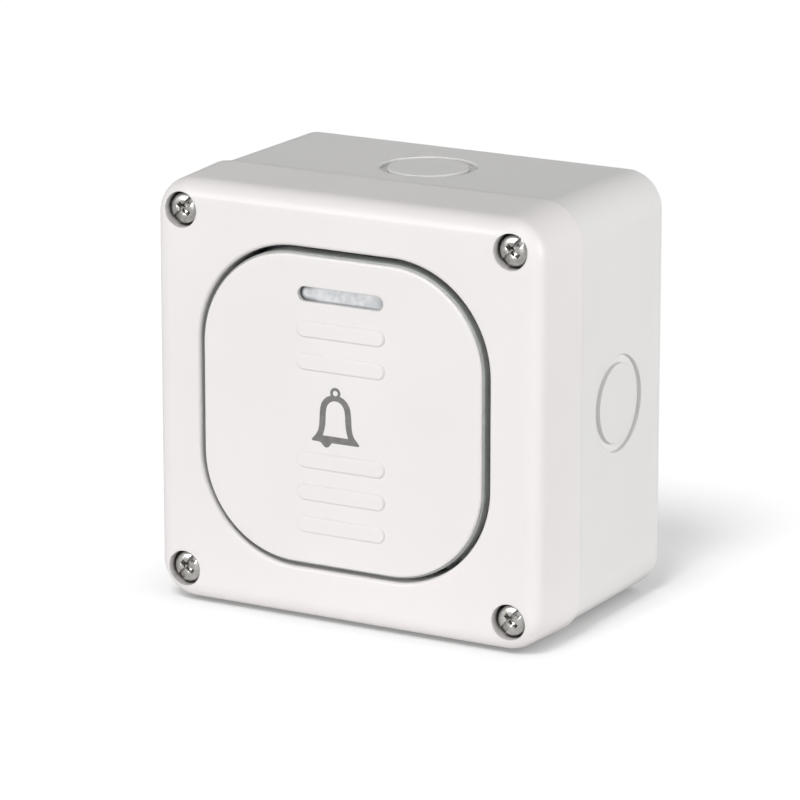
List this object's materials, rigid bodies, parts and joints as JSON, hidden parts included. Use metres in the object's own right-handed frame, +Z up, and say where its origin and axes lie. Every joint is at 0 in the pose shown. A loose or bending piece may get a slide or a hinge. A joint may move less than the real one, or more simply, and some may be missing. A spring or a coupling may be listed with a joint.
{
  "type": "doorbell push button",
  "caption": "Surface-mounted square bell push with a deep back box, a screwed cover and a large rounded rocking plate that springs back.",
  "frame": {"origin": "centre of the flat back face, on the wall plane", "axes": "+Z up, +X to the right seen from the front, +Y into the wall, so the push plate faces -Y"},
  "size_m": [0.0892, 0.0551, 0.0892],
  "materials": {
    "housing": "fine satin moulding, light warm grey",
    "plate": "smooth satin moulding, off-white",
    "clear": "clear moulded plastic",
    "seal_rubber": "smooth dark rubber",
    "gasket_rubber": "soft grey rubber",
    "screw_steel": "bright stainless steel",
    "zinc_steel": "zinc-plated steel sheet",
    "spring_steel": "drawn spring wire",
    "brass": "machined brass",
    "contact_copper": "copper alloy strip",
    "mechanism_plastic": "heat-resisting moulding, white",
    "plunger_plastic": "low-friction moulding, blue-grey",
    "lamp_glass": "clear drawn glass",
    "tinned_wire": "tinned wire",
    "resistor_body": "lacquered ceramic"
  },
  "bodies": {
    "enclosure": {"back_box": "housing", "cover": "housing", "cover_gasket": "gasket_rubber", "cover_screw_top_left": "screw_steel", "cover_screw_top_right": "screw_steel", "cover_screw_bottom_left": "screw_steel", "cover_screw_bottom_right": "screw_steel", "screw_washer_top_left": "gasket_rubber", "screw_washer_top_right": "gasket_rubber", "screw_washer_bottom_left": "gasket_rubber", "screw_washer_bottom_right": "gasket_rubber", "screw_insert_top_left": "brass", "screw_insert_top_right": "brass", "screw_insert_bottom_left": "brass", "screw_insert_bottom_right": "brass", "pivot_pin": "screw_steel", "mounting_frame": "zinc_steel", "frame_screw_top_left": "zinc_steel", "frame_screw_top_right": "zinc_steel", "frame_screw_bottom_left": "zinc_steel", "frame_screw_bottom_right": "zinc_steel", "contact_block": "mechanism_plastic", "block_cover": "mechanism_plastic", "block_screw_upper": "zinc_steel", "block_screw_lower": "zinc_steel", "return_spring": "spring_steel", "fixed_contact_left": "contact_copper", "fixed_contact_right": "contact_copper", "terminal_left": "brass", "terminal_right": "brass", "terminal_screw_left": "screw_steel", "terminal_screw_right": "screw_steel", "locator_lamp": "lamp_glass", "lamp_lead_left": "tinned_wire", "lamp_lead_right": "tinned_wire", "lamp_resistor": "resistor_body", "loop_terminal": "brass", "loop_screw": "screw_steel"},
    "plate": {"push_plate": "plate", "plate_seal": "seal_rubber", "window_lens": "clear", "rocker": "mechanism_plastic"},
    "plunger": {"plunger": "plunger_plastic", "contact_bridge": "contact_copper"}
  },
  "joints": [
    {"name": "plate_rock", "type": "hinge", "parent": "enclosure", "child": "plate", "pos_m": [0, -0.045, 0], "axis": [1, 0, 0], "range_deg": [0, 4], "stiffness_Nm_per_rad": 0.25, "springref_deg": -5.73},
    {"name": "plunger_slide", "type": "slide", "parent": "enclosure", "child": "plunger", "axis": [0, 1, 0], "range_m": [0, 0.00085], "deforming": ["return_spring"]}
  ],
  "couplings": [
    {"joint": "plunger_slide", "follows": "plate_rock", "m_per_rad": 0.012}
  ]
}
